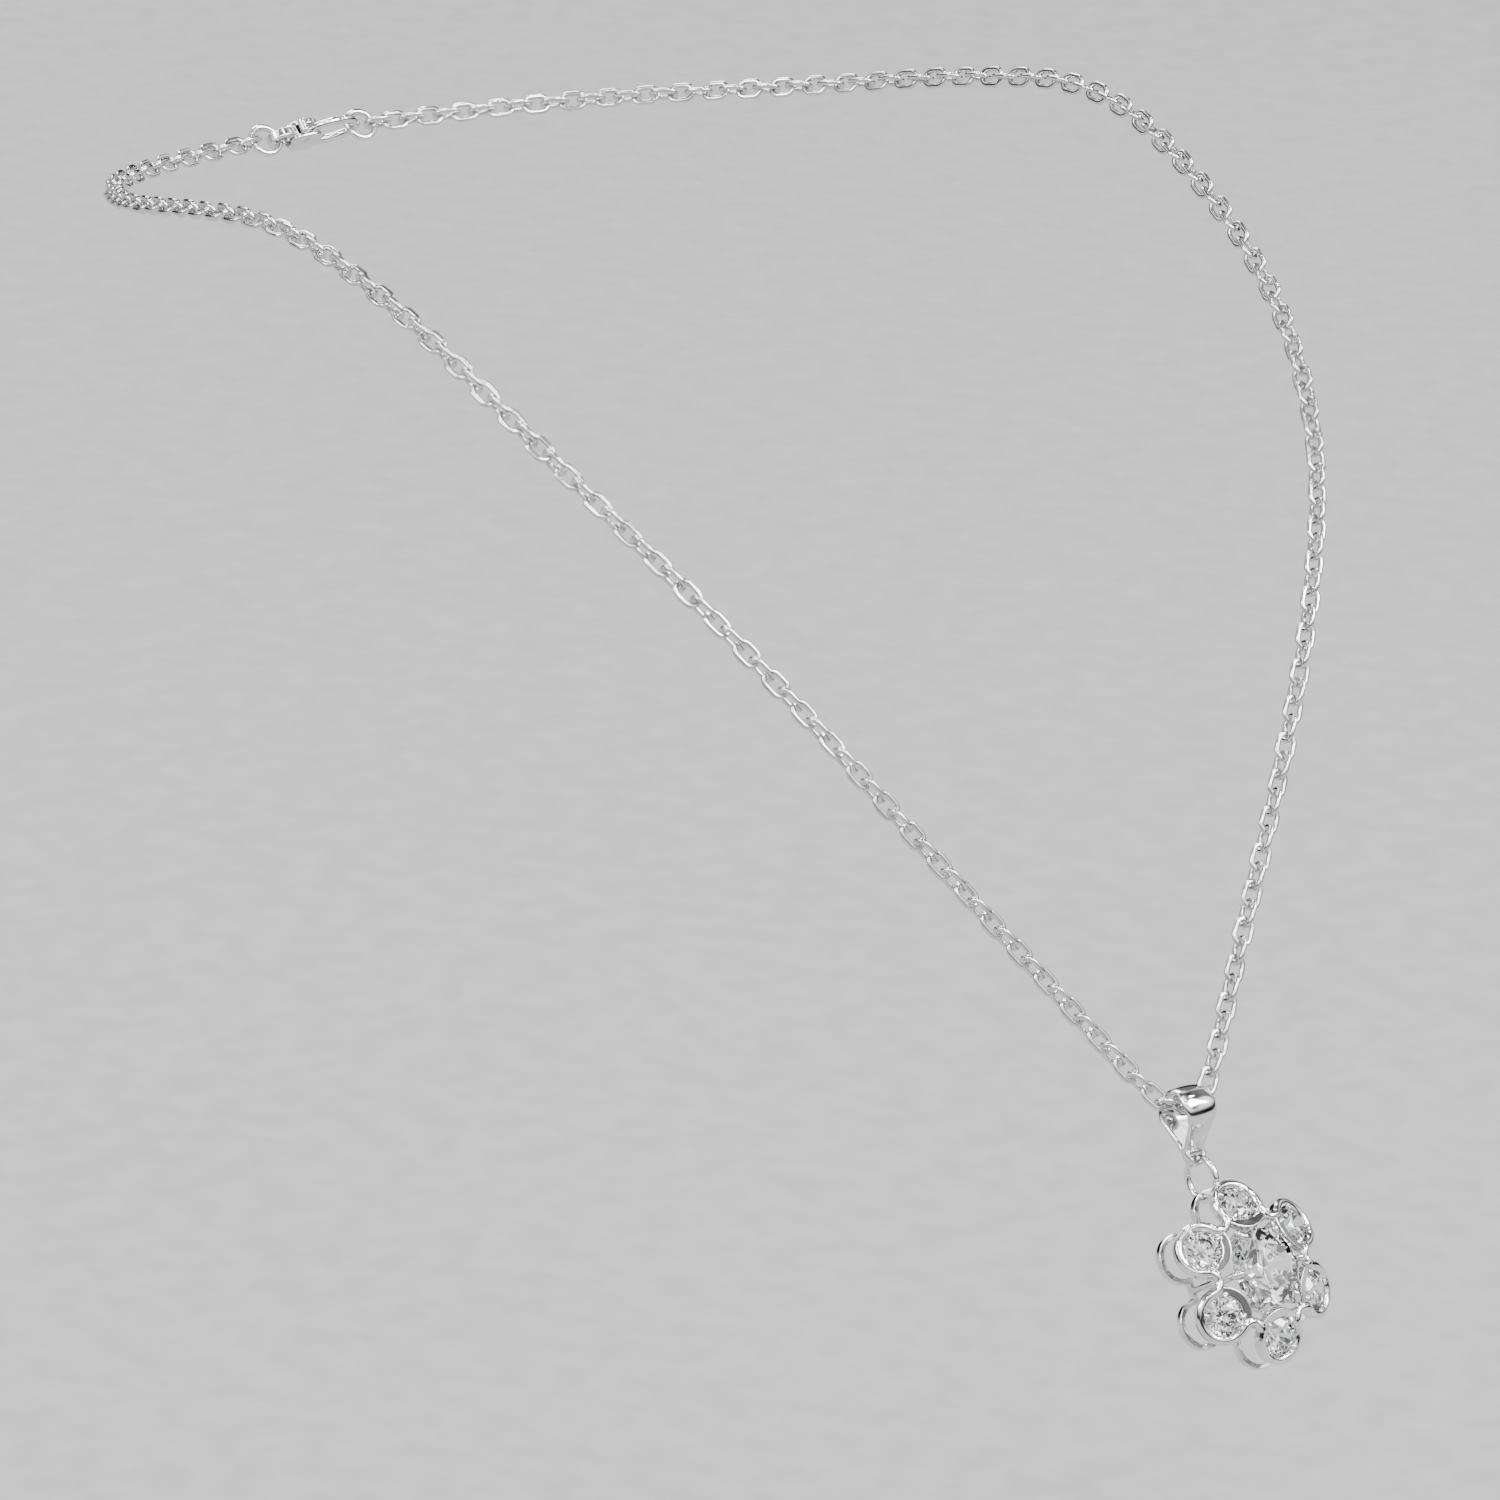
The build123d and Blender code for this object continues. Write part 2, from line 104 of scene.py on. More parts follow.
BAIL_TAIL_END = BAIL_WALL + BAIL_INSIDE_RADIUS - BAIL_LENGTH
BAIL_WIDTHS = [             # height over the middle of the round top, and half the leaf's width there
    (BAIL_TAIL_END, BAIL_TAIL_WIDTH * 0.4),
    (BAIL_TAIL_END * 0.62, BAIL_TAIL_WIDTH * 0.54),
    (0.2, BAIL_BELLY_WIDTH / 2),
    (BAIL_INSIDE_RADIUS + BAIL_WALL, BAIL_TOP_WIDTH / 2),
]

RING_WIRE = 0.6
RING_OUTSIDE_RADIUS = 2.15
JUMP_WIRE = 0.6
JUMP_INSIDE_RADIUS = 1.1
SEAM = 0.03                 # the hairline gap in a closed jump ring
SEAM_PINCH = 0.9            # the wire's thickness right at the gap, as a share of the rest
PENDANT_RING_SEAM = 200     # where the gap is, in degrees round the ring
CLASP_RING_SEAMS = {"clasp_ring": 200, "end_ring": 340}
RING_STATIONS = 96
RING_SIDES = 20
ROUNDING = (30, 60, 85)     # degrees, the steps that round over the end of a bar

FLOWER_BELOW_RING = 8.83
FLOWER_BEFORE_RING = 2.7
PETALS = 6
DOME_TILT = 25              # degrees each petal leans outwards
PETAL_CIRCLE = 5.7
PETAL_SEAT = 0.6
PETAL_RADIUS = 2.45
PETAL_STONE_RADIUS = 1.65
WAIST_RADIUS = 5.15
WAIST_FILLET = 0.35
WAIST_LIFT = 0.16           # the rounded edge's middle above the slope of the dome, between two petals
RIM_BEAD = 0.4              # radius of the rounded edge that runs round the petals
RIM_LIFT = 0.19             # its middle above the girdles of the petal stones
BLEND_FROM = radians(20)    # the edge leaves the petal's plane at this angle from the petal's middle
BLEND_TO = radians(30)
BEAD_CLAW = 0.2             # radius of the small claws on the petal stones
BEAD_CLAW_TAPER = 0.85
BEAD_CLAW_LINE = [(0.2, -0.2), (0.17, 0.17), (0.04, 0.39), (-0.14, 0.45)]   # out and up from the girdle
CENTRE_STONE_RADIUS = 3.4
CENTRE_GIRDLE_HEIGHT = 1.85
CLAW_TIP = 0.36             # radius of the bead at the tip of a big claw
CLAW_TIP_TAPER = 0.9
CLAW_TIP_LINE = [(0.12, 0.45), (-0.16, 0.68)]   # out and up from the girdle
CROWN_SHARE = 0.32          # a brilliant's proportions, as shares of its radius
GIRDLE_SHARE = 0.06
PAVILION_SHARE = 0.86
TABLE_SHARE = 0.56
STAR_SHARE = 0.8            # where the facets round the table end
LOW_SHARE = 0.22            # where the facets round the bottom point begin

GATE_TIP = 0.4              # radius of the gate's end
GATE_TIP_LINE = [(1.2, -1.62, 0), (1.84, -1.7, 0)]
PIN_RADIUS = 0.3
PIN_LENGTH = 1.9
RIVET_HEAD = [(0, 0.11), (0.12, 0.1), (0.22, 0.06), (PIN_RADIUS, 0)]   # radius, and rise over the pin

VOXEL = 0.05                # grain that the castings are remade with
FINE_VOXEL = 0.04
WELD = 0.0005               # points closer than this become one
SMOOTHING = 0.5             # how far each smoothing pass moves a point

# ---- the line of the chain on the +X side, in metres, from the bail round to the clasp ----
CHAIN_ROUTE = [
    (0.0015, -0.0653, -0.0585),
    (0.0032, -0.0646, -0.0574),
    (0.0112, -0.0587, -0.0469),
    (0.0194, -0.0530, -0.0362),
    (0.0273, -0.0467, -0.0252),
    (0.0351, -0.0380, -0.0144),
    (0.0409, -0.0250, -0.0050),
    (0.0433, -0.0095, 0.0024),
    (0.0449, 0.0060, 0.0062),
    (0.0434, 0.0215, 0.0030),
    (0.0389, 0.0392, -0.0020),
    (0.0298, 0.0546, -0.0056),
    (0.0158, 0.0635, -0.0076),
    (0.0050, 0.0651, -0.0078),
]
BUST_HEART = Vector((0, -0.020, -0.090))

# ---- the view ----
VIEW_AZIMUTH = -38.9
VIEW_ELEVATION = 20.6
VIEW_ROLL = 3.0
VIEW_DISTANCE = 0.74
VIEW_AIM = Vector((0.0003, -0.0043, -0.0467))
VIEW_LENS = 200

# ---- the floor ----
FLOOR_BELOW = 0.030         # metres under the lowest point of the necklace
FLOOR_REACH = 6             # the grid's size, in metres
FLOOR_TONES = ((0.26, 0.26, 0.27), (0.30, 0.30, 0.30))
FLOOR_MOTTLE = 4            # millimetres across
FLOOR_ROUGHNESS = 0.7

# ---- surfaces: how many millimetres across their features are ----
METAL_TONE = 1.4
METAL_GLOSS = 0.5
METAL_MARKS = 0.12
METAL_MARKS_DETAIL = 4
METAL_MARKS_STRETCH = (1, 1, 5)
METAL_MARKS_DEPTH = 0.01
STONE_TONE = 0.8
STONE_HAZE = 0.3
STONE_ROUGHEST = 0.03
STONE_IOR = 2.15
NOISE_LOW = 0.3             # nearly all of a noise lies between these two
NOISE_HIGH = 0.7

# ---- lights: azimuth and elevation in degrees, distance and size in metres, and power in watts ----
SOFTBOXES = {
    "Key": (38, 47, 1.2, 0.5, 20),
    "Fill": (-100, 35, 1.4, 0.5, 10),
    "Rim": (160, 40, 1.4, 0.5, 10),
    "Front": (-30, 58, 1.1, 0.2, 5),
}
SPARKS = 9                  # small lights all round, for glints
SPARK_FIRST = -110
SPARK_STEP = 32
SPARK_LOWEST = 32
SPARK_RISE = 13
SPARK_SETTING = (1.0, 0.05, 1.2)    # distance, size and power

# ---- the sky: brightness at heights from straight down, 0, to straight up, 1 ----
SKY_TONES = [
    (0.0, 0.02),
    (0.5, 0.01),
    (0.6, 0.02),
    (0.7, 0.9),
    (0.86, 1.0),
    (0.91, 0.2),
    (0.95, 0.1),
    (1.0, 0.5),
]
SKY_STRENGTH = 2.6
SKY_PLAIN = (0.3, 0.3, 0.3)  # what the camera sees past the floor
PANEL_SCALE = 2.4
PANEL_DARK = 0.1            # brightness between the panels
PANEL_EDGE = (0.42, 0.56)   # the noise values between which a panel begins

joint_place = {j["name"]: Vector(j["pos_m"]) for j in frame["joints"]}
joint_axis = {j["name"]: Vector(j["axis"]).normalized() for j in frame["joints"]}


def placed(origin, x_axis, z_axis):
    """A matrix that takes millimetres in a local frame to metres in the necklace's own frame."""
    z = z_axis.normalized()
    x = (x_axis - z * x_axis.dot(z)).normalized()
    turned = Matrix((x, z.cross(x), z)).transposed().to_4x4()
    return Matrix.Translation(origin) @ turned @ SHRINK


# ---- camera ----
def make_camera():
    azimuth, elevation, roll = radians(VIEW_AZIMUTH), radians(VIEW_ELEVATION), radians(VIEW_ROLL)
    back = Vector((sin(azimuth) * cos(elevation), -cos(azimuth) * cos(elevation), sin(elevation)))
    level = Vector((cos(azimuth), sin(azimuth), 0))
    right = level * cos(roll) + back.cross(level) * sin(roll)
    turned = Matrix((right, back.cross(right), back)).transposed().to_4x4()
    camera = bpy.data.objects.new("Camera", bpy.data.cameras.new("Camera"))
    camera.data.lens = VIEW_LENS
    camera.data.clip_start = 0.01
    camera.data.clip_end = 100
    camera.matrix_world = Matrix.Translation(VIEW_AIM + back * VIEW_DISTANCE) @ turned
    bpy.context.scene.collection.objects.link(camera)
    bpy.context.scene.camera = camera


# ---- mesh helpers, in millimetres ----
def skin(bm, sections, closed=False, cap=True):
    """Faces between rings of points that follow each other; an open skin gets flat ends."""
    rings = [[bm.verts.new(p) for p in section] for section in sections]
    pairs = list(zip(rings, rings[1:])) + ([(rings[-1], rings[0])] if closed else [])
    for a, b in pairs:
        for i in range(len(a)):
            j = (i + 1) % len(a)
            bm.faces.new((a[i], a[j], b[j], b[i]))
    if cap and not closed:
        bm.faces.new(list(reversed(rings[0])))
        bm.faces.new(rings[-1])


def circle(count, turn=0.0):
    return [(cos(2 * pi * i / count + turn), sin(2 * pi * i / count + turn)) for i in range(count)]


def rounded_end(at, run, radius):
    """The points and radii that round over an open end, from the end outwards."""
    turns = [radians(a) for a in ROUNDING]
    return [at + run * radius * sin(a) for a in turns], [radius * cos(a) for a in turns]


def arc(middle, radius, start, end, steps):
    """Points on an arc, from its start and up to its end but without it."""
    turns = [start + (end - start) * k / steps for k in range(steps)]
    return [Vector((middle[0] + radius * cos(a), middle[1] + radius * sin(a))) for a in turns]


def eased(share):
    return share * share * (3 - 2 * share)


def tube(bm, points, radii, sides=12, closed=False):
    """A round bar along points, with a radius at each; open ends are rounded over."""
    points = [Vector(p) for p in points]
    radii = list(radii)
    if not closed:
        first, first_radii = rounded_end(points[0], (points[0] - points[1]).normalized(), radii[0])
        last, last_radii = rounded_end(points[-1], (points[-1] - points[-2]).normalized(), radii[-1])
        points = first[::-1] + points + last
        radii = first_radii[::-1] + radii + last_radii
    count = len(points)
    sections = []
    side = None
    for i, p in enumerate(points):
        after = points[(i + 1) % count] if closed or i + 1 < count else p
        before = points[i - 1] if closed or i else p
        along = (after - before).normalized()
        if side is None:
            side = along.orthogonal()
        side = (side - along * side.dot(along)).normalized()
        up = along.cross(side)
        sections.append([p + (side * c + up * s) * radii[i] for c, s in circle(sides)])
    skin(bm, sections, closed)


def spun(bm, profile, matrix=Matrix.Identity(4), segments=48):
    """A profile of (radius, height) turned once round Z; it closes on itself or ends on the axis."""
    on_axis = profile[0][0] == 0 and profile[-1][0] == 0
    inner = profile[1:-1] if on_axis else profile
    rings = []
    for c, s in circle(segments):
        rings.append([bm.verts.new(matrix @ Vector((r * c, r * s, z))) for r, z in inner])
    for k in range(segments):
        a, b = rings[k], rings[(k + 1) % segments]
        for i in range(len(inner) - (1 if on_axis else 0)):
            j = (i + 1) % len(inner)
            bm.faces.new((a[i], b[i], b[j], a[j]))
    if on_axis:
        low = bm.verts.new(matrix @ Vector((0, 0, profile[0][1])))
        high = bm.verts.new(matrix @ Vector((0, 0, profile[-1][1])))
        for k in range(segments):
            a, b = rings[k], rings[(k + 1) % segments]
            bm.faces.new((low, b[0], a[0]))
            bm.faces.new((high, a[-1], b[-1]))


def finished(name, bm, matrix, body, material, nodes, smooth=True):
    """Makes a piece of its shells, puts it in its place and says what it rides on and stands for."""
    bmesh.ops.recalc_face_normals(bm, faces=bm.faces)
    mesh = bpy.data.meshes.new(name)
    bm.to_mesh(mesh)
    bm.free()
    mesh.transform(matrix)
    for face in mesh.polygons:
        face.use_smooth = smooth
    mesh.materials.append(material)
    piece = bpy.data.objects.new(name, mesh)
    bpy.context.scene.collection.objects.link(piece)
    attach(piece, body)
    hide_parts(*nodes)
    return piece


def cast(name, node, body, voxel, polish, place=SHRINK, extras=None):
    """The CAD node with more shells joined on and its edges softened, as on a cast and polished part."""
    bm = bmesh.new()
    if extras:
        extras(bm)
    bm.transform(GROW @ place)
    bm.from_mesh(frame["nodes"][node].data)
    for vertex in bm.verts[-len(frame["nodes"][node].data.vertices):]:
        vertex.co /= MM
    bmesh.ops.remove_doubles(bm, verts=bm.verts, dist=WELD)
    rough = bpy.data.meshes.new("rough")
    bm.to_mesh(rough)
    bm.free()
    holder = bpy.data.objects.new("rough", rough)
    bpy.context.scene.collection.objects.link(holder)
    remesh = holder.modifiers.new("Remesh", "REMESH")
    remesh.mode = "VOXEL"
    remesh.voxel_size = voxel
    smooth = holder.modifiers.new("Smooth", "SMOOTH")
    smooth.factor = SMOOTHING
    smooth.iterations = polish
    bpy.context.view_layer.update()
    bm = bmesh.new()
    bm.from_object(holder, bpy.context.evaluated_depsgraph_get())
    bpy.data.objects.remove(holder)
    bpy.data.meshes.remove(rough)
    finished(name, bm, SHRINK, body, bright_silver, [node])


# ---- materials ----
def new_material(name):
    material = bpy.data.materials.new(name)
    material.use_nodes = True
    shader = material.node_tree.nodes["Principled BSDF"]
    return material, material.node_tree, shader


def noise(tree, size, detail=3.0, stretch=(1, 1, 1)):
    """A noise whose features are about `size` millimetres across."""
    place = tree.nodes.new("ShaderNodeTexCoord")
    scale = tree.nodes.new("ShaderNodeMapping")
    scale.inputs["Scale"].default_value = [s / (size * MM) for s in stretch]
    texture = tree.nodes.new("ShaderNodeTexNoise")
    texture.inputs["Scale"].default_value = 1
    texture.inputs["Detail"].default_value = detail
    tree.links.new(place.outputs["Object"], scale.inputs["Vector"])
    tree.links.new(scale.outputs["Vector"], texture.inputs["Vector"])
    return texture.outputs["Fac"]


def ranged(tree, value, low, high):
    spread = tree.nodes.new("ShaderNodeMapRange")
    spread.inputs["From Min"].default_value = NOISE_LOW
    spread.inputs["From Max"].default_value = NOISE_HIGH
    spread.inputs["To Min"].default_value = low
    spread.inputs["To Max"].default_value = high
    tree.links.new(value, spread.inputs["Value"])
    return spread.outputs["Result"]


def toned(tree, value, dark, light):
    ramp = tree.nodes.new("ShaderNodeValToRGB")
    ramp.color_ramp.elements[0].position = NOISE_LOW
    ramp.color_ramp.elements[0].color = (*dark, 1)
    ramp.color_ramp.elements[1].position = NOISE_HIGH
    ramp.color_ramp.elements[1].color = (*light, 1)
    tree.links.new(value, ramp.inputs["Fac"])
    return ramp.outputs["Color"]


def polished_metal(name, dark, light, smoothest, roughest, scratch):
    """Bright metal: its tone and gloss vary softly, and fine polishing marks run over it."""
    material, tree, shader = new_material(name)
    shader.inputs["Metallic"].default_value = 1
    tree.links.new(toned(tree, noise(tree, METAL_TONE), dark, light), shader.inputs["Base Color"])
    gloss = ranged(tree, noise(tree, METAL_GLOSS), smoothest, roughest)
    tree.links.new(gloss, shader.inputs["Roughness"])
    marks = noise(tree, METAL_MARKS, METAL_MARKS_DETAIL, METAL_MARKS_STRETCH)
    bump = tree.nodes.new("ShaderNodeBump")
    bump.inputs["Strength"].default_value = scratch
    bump.inputs["Distance"].default_value = METAL_MARKS_DEPTH * MM
    tree.links.new(marks, bump.inputs["Height"])
    tree.links.new(bump.outputs["Normal"], shader.inputs["Normal"])
    return material


def clear_stone(name, tint_dark, tint_light):
    """Cut crystal: clear and very glossy, with the faintest haze on its facets."""
    material, tree, shader = new_material(name)
    shader.inputs["Transmission Weight"].default_value = 1
    shader.inputs["IOR"].default_value = STONE_IOR
    tint = toned(tree, noise(tree, STONE_TONE), tint_dark, tint_light)
    tree.links.new(tint, shader.inputs["Base Color"])
    haze = ranged(tree, noise(tree, STONE_HAZE), 0.0, STONE_ROUGHEST)
    tree.links.new(haze, shader.inputs["Roughness"])
    return material


chain_silver = polished_metal("ChainSilver", dark=(0.56, 0.56, 0.57), light=(0.76, 0.76, 0.76),
                              smoothest=0.08, roughest=0.18, scratch=0.25)
bright_silver = polished_metal("BrightSilver", dark=(0.64, 0.64, 0.65), light=(0.82, 0.82, 0.82),
                               smoothest=0.05, roughest=0.13, scratch=0.2)
spring_steel = polished_metal("SpringSteel", dark=(0.42, 0.42, 0.44), light=(0.60, 0.60, 0.61),
                              smoothest=0.18, roughest=0.32, scratch=0.5)
crystal = clear_stone("Crystal", tint_dark=(0.93, 0.95, 0.98), tint_light=(1.0, 1.0, 1.0))


# ---- chain ----
def route_line(points):
    """Points along the smooth line that has these control points."""
    curve = bpy.data.curves.new("route", "CURVE")
    curve.dimensions = "3D"
    curve.resolution_u = 64
    spline = curve.splines.new("NURBS")
    spline.points.add(len(points) - 1)
    for knot, point in zip(spline.points, points):
        knot.co = (*point, 1)
    spline.order_u = 3
    spline.use_endpoint_u = True
    holder = bpy.data.objects.new("route", curve)
    mesh = bpy.data.meshes.new_from_object(holder)
    line = [v.co.copy() for v in mesh.vertices]
    bpy.data.objects.remove(holder)
    bpy.data.meshes.remove(mesh)
    bpy.data.curves.remove(curve)
    return line


def hooked_points(line):
    """Points where the links hook together: half a pitch from the bail, then a pitch apart."""
    here = line[0]
    reach = LINK_PITCH * MM / 2
    places = []
    for before, point in zip(line, line[1:]):
        if (point - here).length >= reach and len(places) <= LINKS_PER_SIDE:
            near = (before - here).length
            share = (reach - near) / ((point - here).length - near)
            here = before.lerp(point, share)
            places.append(here)
            reach = LINK_PITCH * MM
    return places


def link_place(a, b, number, twist):
    """Where link `number` lies between two hooked points: even ones lie flat, odd ones on edge."""
    along = (b - a).normalized()
    out = (a + b) / 2 - BUST_HEART
    facing = (out - along * out.dot(along)).normalized()
    if number % 2:
        facing = facing.cross(along)
    facing = Matrix.Rotation(radians(twist), 3, along) @ facing
    return placed((a + b) / 2, along, facing)


def add_link(bm, matrix, stations=32, sides=12):
    """One oval link, long along X, its two faces ground a little flat."""
    bend = (LINK_INSIDE_WIDTH + LINK_WIRE) / 2
    straight = (LINK_PITCH + LINK_PLAY - LINK_INSIDE_WIDTH) / 2
    radius = LINK_WIRE / 2
    sections = []
    for c, s in circle(stations, pi / stations):
        middle = Vector((bend * c + (straight if c > 0 else -straight), bend * s, 0))
        out = Vector((c, s, 0))
        wire = [(x, max(-LINK_FLAT, min(LINK_FLAT, z))) for x, z in circle(sides, pi / sides)]
        round_wire = [middle + out * radius * x + Vector((0, 0, radius * z)) for x, z in wire]
        sections.append([matrix @ p for p in round_wire])
    skin(bm, sections, closed=True)


def make_strand(name, node, hooks, side):
    """One strand of the chain: its links hook through each other from the bail to the clasp."""
    chance = random.Random(side)
    bm = bmesh.new()
    for i, (a, b) in enumerate(zip(hooks, hooks[1:])):
        twist = chance.uniform(-LINK_TWIST, LINK_TWIST)
        add_link(bm, link_place(a, b, i + 1, twist if i >= LINKS_IN_BAIL else 0))
    strand = finished(name, bm, Matrix.Identity(4), "chain", chain_silver, [node])


def make_chain():
    middle = Vector((0, *CHAIN_ROUTE[0][1:]))
    left_line = route_line([middle, *CHAIN_ROUTE])
    right_line = [Vector((-p.x, p.y, p.z)) for p in left_line]
    left_hooks = hooked_points(left_line)
    right_hooks = hooked_points(right_line)
    make_strand("chain_left_links", "chain_left", left_hooks, 1)
    make_strand("chain_right_links", "chain_right", right_hooks, 2)
    bm = bmesh.new()
    add_link(bm, link_place(right_hooks[0], left_hooks[0], 0, 0), stations=48, sides=16)
    finished("centre_link_wire", bm, Matrix.Identity(4), "chain", chain_silver,
             ["centre_link"])


# ---- bail and rings ----
def pendant_place(down, forward):
    """A local frame that leans back with the chest: y up it, z away from it, x along the chain."""
    out = joint_axis["ring_swing"]
    up = out.cross(Vector((1, 0, 0)))
    ring_centre = joint_place["flower_swing"]
    return placed(ring_centre - up * down * MM + out * forward * MM, Vector((1, 0, 0)), out)


def evenly(points, count):
    """Points the same distance apart along a line of points, from its first to its last."""
    along = [0.0]
    for p, q in zip(points, points[1:]):
        along.append(along[-1] + (q - p).length)
    even = []
    i = 0
    for k in range(count + 1):
        want = along[-1] * k / count
        while i < len(along) - 2 and along[i + 1] <= want:
            i += 1
        even.append(points[i].lerp(points[i + 1], (want - along[i]) / (along[i + 1] - along[i])))
    return even


def teardrop_side(big_radius, small_radius, drop, side):
    """Half of a teardrop from its top to its tail: an arc, a straight run and a small arc. Points are
    (height, depth) from the middle of the big arc; side is 1 for the front half and -1 for the back."""
    depth = BAIL_TAIL_BACK * side
    tail = Vector((-drop, -depth))
    lean = atan2(tail.y, tail.x) % (2 * pi)
    leave = lean - acos((big_radius - small_radius) / tail.length)
    points = arc((0, 0), big_radius, 0, leave, steps=24)
    points.append(Vector((cos(leave), sin(leave))) * big_radius)
    points += arc(tail, small_radius, leave, lean, steps=6)
    points.append(tail + Vector((cos(lean), sin(lean))) * small_radius)
    return [Vector((p.x, p.y * side)) for p in evenly(points, BAIL_STEPS)]


def leaf_width(height):
    """Half the width of the bail's leaf at a height over the middle of its round top."""
    for (low, narrow), (high, wide) in zip(BAIL_WIDTHS, BAIL_WIDTHS[1:]):
        if height <= high:
            share = max(0.0, (height - low) / (high - low))
            return narrow + (wide - narrow) * eased(share)
    return BAIL_WIDTHS[-1][1]


def leaf_section(outer, inner):
    """A section across the leaf: crowned over the outside, nearly flat inside, its edges rounded."""
    half = leaf_width((outer.x + inner.x) / 2)
    wall = outer - inner
    crown = min(BAIL_CROWN / wall.length, BAIL_CROWN_MOST)
    across = [k / BAIL_ACROSS for k in range(-BAIL_ACROSS, BAIL_ACROSS + 1)]
    section = []
    for x in across:
        edge = abs(x) == 1
        p = inner + wall * (1 - crown * abs(x) ** BAIL_CROWN_POWER - (BAIL_OUTER_EDGE if edge else 0))
        section.append(Vector((half * x * (BAIL_OUTER_REACH if edge else 1), p.x, p.y)))
    for x in reversed(across):
        p = inner + wall * (BAIL_INNER_EDGE if abs(x) == 1 else 0)
        section.append(Vector((half * x * BAIL_INNER_REACH, p.x, p.y)))
    return section


def make_bail():
    """A crowned leaf folded over the chain, its ends brought together in a flat eye."""
    matrix = placed(joint_place["bail_swing"], Vector((1, 0, 0)), joint_axis["ring_swing"])
    hole = BAIL_TAIL_END + BAIL_HOLE_EDGE + BAIL_HOLE_RADIUS
    join = -(hole + BAIL_HOLE_RADIUS)
    halves = []
    for side in (1, -1):
        outer = teardrop_side(BAIL_INSIDE_RADIUS + BAIL_WALL, BAIL_TAIL_THICKNESS / 2, join, side)
        inner = teardrop_side(BAIL_INSIDE_RADIUS, BAIL_FOLD_RADIUS, join - BAIL_FOLD_LIFT, side)
        halves.append(list(zip(outer, inner)))
    loop = halves[0][:-1] + halves[1][:0:-1]
    bm = bmesh.new()
    skin(bm, [leaf_section(outer, inner) for outer, inner in loop], closed=True)
    wide = BAIL_TAIL_WIDTH / 2
    thick = BAIL_TAIL_THICKNESS / 2
    bore = BAIL_HOLE_RADIUS
    lip = bore + BAIL_EYE_BORE_EDGE
    rim = wide - BAIL_EYE_RIM_EDGE
    low = thick * BAIL_EYE_BORE_FLAT
    high = thick * BAIL_EYE_RIM_FLAT
    eye = [(lip, thick), (bore, low), (bore, -low), (lip, -thick)]
    eye += [(rim, -thick), (wide, -high), (wide, high), (rim, thick)]
    spun(bm, eye, Matrix.Translation((0, BAIL_TAIL_END + wide, -BAIL_TAIL_BACK)))
    finished("bail_leaf", bm, matrix, "bail", bright_silver, ["bail"])


def wire_ring(bm, radius, wire, seam_at):
    """A ring of round wire in the XY plane, with the hairline seam where it was closed."""
    gap = SEAM / radius
    last = RING_STATIONS - 1
    start = radians(seam_at) + gap / 2
    angles = [start + (2 * pi - gap) * k / last for k in range(RING_STATIONS)]
    sections = []
    for k, a in enumerate(angles):
        r = wire / 2 * (SEAM_PINCH if k in (0, last) else 1)
        centre = Vector((cos(a), sin(a), 0)) * radius
        out = Vector((cos(a), sin(a), 0))
        sections.append([centre + out * r * x + Vector((0, 0, r * z)) for x, z in circle(RING_SIDES)])
    skin(bm, sections)


def make_ring(name, node, body, matrix, radius, wire, seam_at):
    bm = bmesh.new()
    wire_ring(bm, radius, wire, seam_at)
    finished(name, bm, matrix, body, bright_silver, [node])


def make_pendant_ring():
    upright = pendant_place(0, 0) @ Matrix.Rotation(pi / 2, 4, "Y")
    make_ring("pendant_ring_wire", "pendant_ring", "pendant_ring", upright,
              RING_OUTSIDE_RADIUS - RING_WIRE / 2, RING_WIRE, PENDANT_RING_SEAM)


# ---- flower ----
def petal_line(inset):
    """The scalloped outline of the petals, that far in from the edge: lobes, waists and fillets."""
    lobe, waist, fillet = PETAL_RADIUS - inset, WAIST_RADIUS - inset, WAIST_FILLET + inset
    far, near = waist + fillet, lobe + fillet
    at = acos((far ** 2 + PETAL_CIRCLE ** 2 - near ** 2) / (2 * far * PETAL_CIRCLE))
    side = Vector((far * cos(at), far * sin(at)))
    leave = atan2(side.y, side.x - PETAL_CIRCLE)
    one = arc((PETAL_CIRCLE, 0), lobe, -leave, leave, steps=28)
    one += arc(side, fillet, leave + pi, at + pi, steps=6)
    one += arc((0, 0), waist, at, pi / 3 - at, steps=4)
    other = Matrix.Rotation(pi / 3, 2) @ Vector((side.x, -side.y))
    one += arc(other, fillet, pi / 3 - at + pi, pi / 3 - leave + pi, steps=6)
    line = []
    for k in range(PETALS):
        turn = Matrix.Rotation(pi / 2 + k * pi / 3, 2)
        line += [turn @ p for p in one]
    return line


def petal_place(k):
    """A frame at the middle of petal k, level with its stone's girdle and leaning outwards."""
    leaning = Matrix.Rotation(radians(-DOME_TILT), 4, "X")
    out = Matrix.Translation((0, PETAL_CIRCLE, PETAL_SEAT)) @ leaning
    return Matrix.Rotation(k * pi / 3, 4, "Z") @ out


def on_dome(point):
    """A point of the flat outline brought onto the dome: petals are flat and waists follow a cone."""
    turn = atan2(point.y, point.x) - pi / 2
    k = round(turn / (pi / 3))
    flat = Matrix.Rotation(-k * pi / 3, 2) @ point
    on_petal = petal_place(k) @ Vector((flat.x, flat.y - PETAL_CIRCLE, RIM_LIFT))
    slope = PETAL_SEAT + (PETAL_CIRCLE - point.length) * tan(radians(DOME_TILT))
    on_cone = Vector((point.x, point.y, slope + WAIST_LIFT))
    share = (abs(turn - k * pi / 3) - BLEND_FROM) / (BLEND_TO - BLEND_FROM)
    share = max(0.0, min(1.0, share))
    return on_petal.lerp(on_cone, eased(share))


